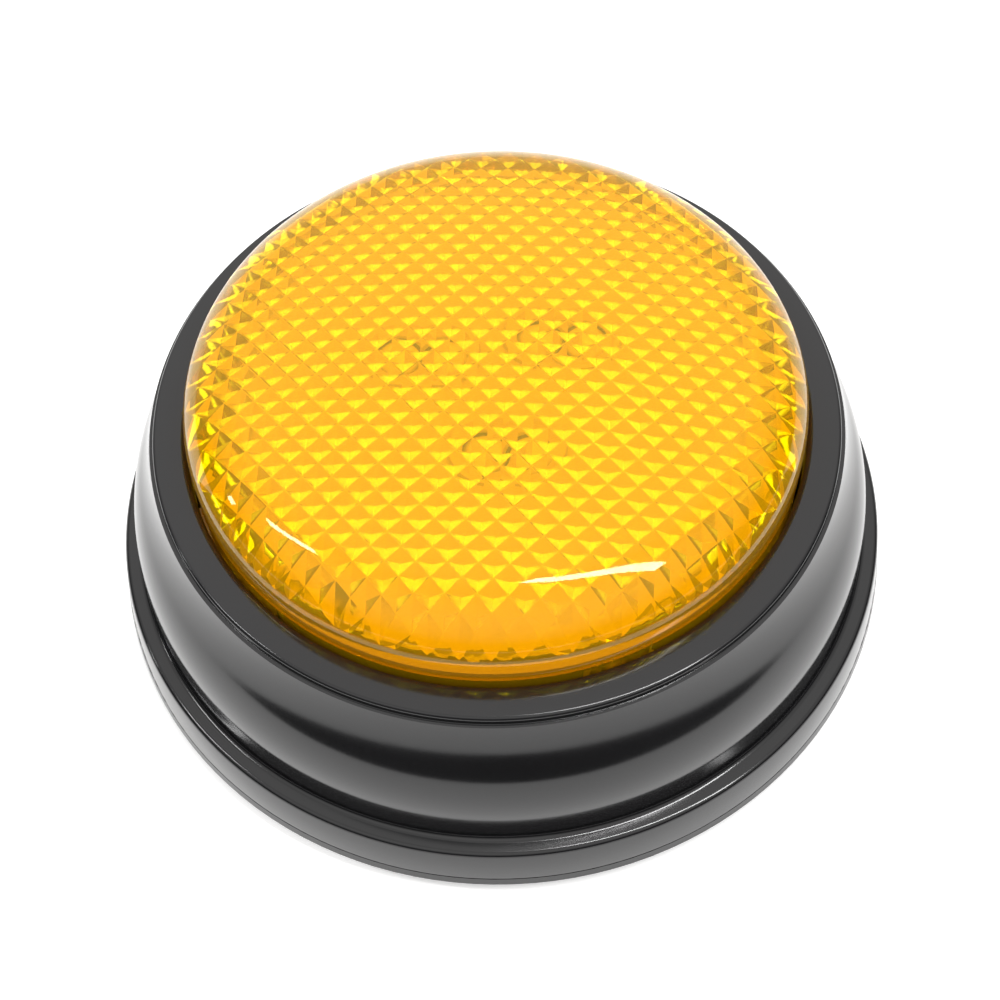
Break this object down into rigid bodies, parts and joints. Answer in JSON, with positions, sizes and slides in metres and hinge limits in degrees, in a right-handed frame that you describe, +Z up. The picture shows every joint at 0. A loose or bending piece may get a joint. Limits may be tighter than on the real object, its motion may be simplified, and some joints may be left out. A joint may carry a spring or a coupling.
{
  "type": "quiz buzzer",
  "caption": "Round tabletop answer buzzer: black stepped base with an amber prismatic push dome over a lit, sounding switch, on rubber feet.",
  "frame": {"origin": "on the floor under the centre of the round base", "axes": "+Z up along the dome's axis, +Y along the two cells towards the battery door's screw, +X from the speaker towards the battery box"},
  "size_m": [0.09, 0.09, 0.0367],
  "materials": {
    "amber_lens": "clear amber, polished outside, prismatic inside",
    "black_plastic": "gloss moulded",
    "white_plastic": "moulded white",
    "rubber": "matt",
    "steel_screw": "zinc plated",
    "spring_steel": "drawn wire",
    "nickel_contact": "nickel plated",
    "board_green": "solder mask",
    "switch_black": "moulded",
    "switch_button": "moulded",
    "led_clear": "clear resin",
    "resistor_body": "lacquered",
    "capacitor_can": "sleeved can",
    "speaker_steel": "plated steel",
    "speaker_paper": "pressed paper",
    "magnet": "plated",
    "speaker_ring": "moulded",
    "wire_red": "insulated",
    "wire_black": "insulated",
    "cell_jacket": "printed jacket, plain"
  },
  "bodies": {
    "base": {"upper_housing": "black_plastic", "bottom_cover": "black_plastic", "rubber_foot_1": "rubber", "rubber_foot_2": "rubber", "rubber_foot_3": "rubber", "rubber_foot_4": "rubber", "base_screws": "steel_screw", "board_screws": "steel_screw", "return_spring_1": "spring_steel", "return_spring_2": "spring_steel", "return_spring_3": "spring_steel", "contact_positive": "nickel_contact", "contact_negative": "nickel_contact", "contact_bridge": "nickel_contact", "switch_pins": "nickel_contact", "circuit_board": "board_green", "switch_case": "switch_black", "transistor": "switch_black", "sound_chip": "switch_black", "led_1": "led_clear", "led_2": "led_clear", "led_3": "led_clear", "resistors": "resistor_body", "capacitor": "capacitor_can", "speaker_frame": "speaker_steel", "speaker_cone": "speaker_paper", "speaker_magnet": "magnet", "speaker_ring": "speaker_ring", "speaker_lead_red": "wire_red", "battery_lead_red": "wire_red", "speaker_lead_black": "wire_black", "battery_lead_black": "wire_black", "cell_1": "cell_jacket", "cell_2": "cell_jacket"},
    "dome": {"dome_lens": "amber_lens", "press_plate": "white_plastic"},
    "button": {"switch_button": "switch_button"},
    "door": {"battery_door": "black_plastic", "door_screw": "steel_screw"}
  },
  "joints": [
    {"name": "dome_press", "type": "slide", "parent": "base", "child": "dome", "axis": [0, 0, -1], "range_m": [0, 0.0025], "stiffness_N_per_m": 900, "springref_m": -0.002, "deforming": ["return_spring_1", "return_spring_2", "return_spring_3"]},
    {"name": "button_press", "type": "slide", "parent": "base", "child": "button", "axis": [0, 0, -1], "range_m": [0, 0.00025]},
    {"name": "door_tilt", "type": "hinge", "parent": "base", "child": "door", "pos_m": [0.015, -0.0248, 0.002], "axis": [-1, 0, 0], "range_deg": [0, 60]}
  ],
  "couplings": [
    {"joint": "button_press", "follows": "dome_press", "ratio": 0.1}
  ]
}
